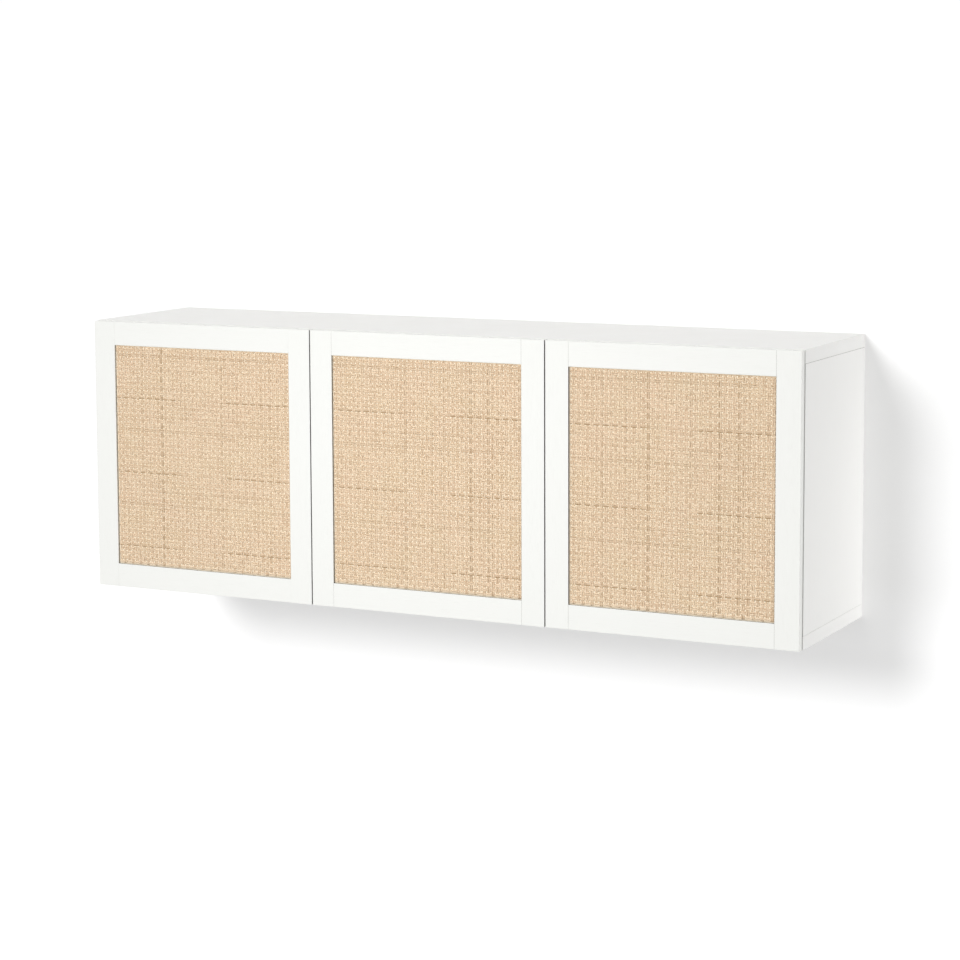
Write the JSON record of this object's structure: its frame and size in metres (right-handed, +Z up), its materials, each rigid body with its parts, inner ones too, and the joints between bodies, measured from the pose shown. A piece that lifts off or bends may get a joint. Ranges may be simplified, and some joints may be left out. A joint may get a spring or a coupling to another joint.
{
  "type": "wall-hung record cabinet",
  "caption": "Wide wall-hung cabinet with push-open white framed doors, each with a recessed woven wood panel, over shelved bays for records.",
  "frame": {"origin": "middle of the screw line of the middle wall rail, on the wall", "axes": "+X to the right along the width, +Y towards the wall, +Z up"},
  "size_m": [1.8, 0.42, 0.648],
  "materials": {
    "white_door_frame": "satin white lacquer over fine vertical and horizontal wood grain",
    "white_carcass": "satin white foil on particleboard",
    "white_hardboard": "matt white painted hardboard",
    "woven_strips": "open weave of paired light poplar strips, waxed",
    "cream_board": "matt cream painted board",
    "beech": "bare, fluted",
    "nickel_steel": "satin nickel plate",
    "zinc_steel": "bright zinc plate",
    "zinc_casting": "raw zinc casting",
    "galvanised_steel": "galvanised sheet",
    "grey_plastic": "moulded",
    "white_plastic": "moulded"
  },
  "bodies": {
    "carcass": {"cam_bolts": "zinc_steel", "cam_locks": "zinc_casting", "hanging_hooks": "galvanised_steel", "hinge_arms": "nickel_steel", "hinge_pins": "zinc_steel", "hinge_plates": "nickel_steel", "latch_housings": "grey_plastic", "left_back_panel": "white_hardboard", "left_bottom_panel": "white_carcass", "left_module_left_side": "white_carcass", "left_module_right_side": "white_carcass", "left_shelf": "white_carcass", "left_top_panel": "white_carcass", "middle_back_panel": "white_hardboard", "middle_bottom_panel": "white_carcass", "middle_module_left_side": "white_carcass", "middle_module_right_side": "white_carcass", "middle_shelf": "white_carcass", "middle_top_panel": "white_carcass", "module_connectors": "zinc_steel", "panel_screws": "zinc_steel", "right_back_panel": "white_hardboard", "right_bottom_panel": "white_carcass", "right_module_left_side": "white_carcass", "right_module_right_side": "white_carcass", "right_shelf": "white_carcass", "right_top_panel": "white_carcass", "shelf_pins": "zinc_steel", "wall_rails": "galvanised_steel", "wood_dowels": "beech"},
    "left_door": {"left_door_backing_board": "cream_board", "left_door_bottom_rail": "white_door_frame", "left_door_cup_screws": "zinc_steel", "left_door_free_stile": "white_door_frame", "left_door_hinge_cups": "nickel_steel", "left_door_hinge_stile": "white_door_frame", "left_door_strike_plate": "zinc_steel", "left_door_top_rail": "white_door_frame", "left_door_woven_panel": "woven_strips"},
    "left_plunger": {"left_latch_plunger": "white_plastic"},
    "middle_door": {"middle_door_backing_board": "cream_board", "middle_door_bottom_rail": "white_door_frame", "middle_door_cup_screws": "zinc_steel", "middle_door_free_stile": "white_door_frame", "middle_door_hinge_cups": "nickel_steel", "middle_door_hinge_stile": "white_door_frame", "middle_door_strike_plate": "zinc_steel", "middle_door_top_rail": "white_door_frame", "middle_door_woven_panel": "woven_strips"},
    "middle_plunger": {"middle_latch_plunger": "white_plastic"},
    "right_door": {"right_door_backing_board": "cream_board", "right_door_bottom_rail": "white_door_frame", "right_door_cup_screws": "zinc_steel", "right_door_free_stile": "white_door_frame", "right_door_hinge_cups": "nickel_steel", "right_door_hinge_stile": "white_door_frame", "right_door_strike_plate": "zinc_steel", "right_door_top_rail": "white_door_frame", "right_door_woven_panel": "woven_strips"},
    "right_plunger": {"right_latch_plunger": "white_plastic"}
  },
  "joints": [
    {"name": "left_door_swing", "type": "hinge", "parent": "carcass", "child": "left_door", "pos_m": [-0.8922, -0.4138, 0], "axis": [0, 0, -1], "range_deg": [0, 95]},
    {"name": "middle_door_swing", "type": "hinge", "parent": "carcass", "child": "middle_door", "pos_m": [-0.2922, -0.4138, 0], "axis": [0, 0, -1], "range_deg": [0, 95]},
    {"name": "right_door_swing", "type": "hinge", "parent": "carcass", "child": "right_door", "pos_m": [0.8922, -0.4138, 0], "axis": [0, 0, 1], "range_deg": [0, 95]},
    {"name": "left_plunger_push", "type": "slide", "parent": "carcass", "child": "left_plunger", "axis": [0, 1, 0], "range_m": [0, 0.0015], "stiffness_N_per_m": 120},
    {"name": "middle_plunger_push", "type": "slide", "parent": "carcass", "child": "middle_plunger", "axis": [0, 1, 0], "range_m": [0, 0.0015], "stiffness_N_per_m": 120},
    {"name": "right_plunger_push", "type": "slide", "parent": "carcass", "child": "right_plunger", "axis": [0, 1, 0], "range_m": [0, 0.0015], "stiffness_N_per_m": 120}
  ]
}
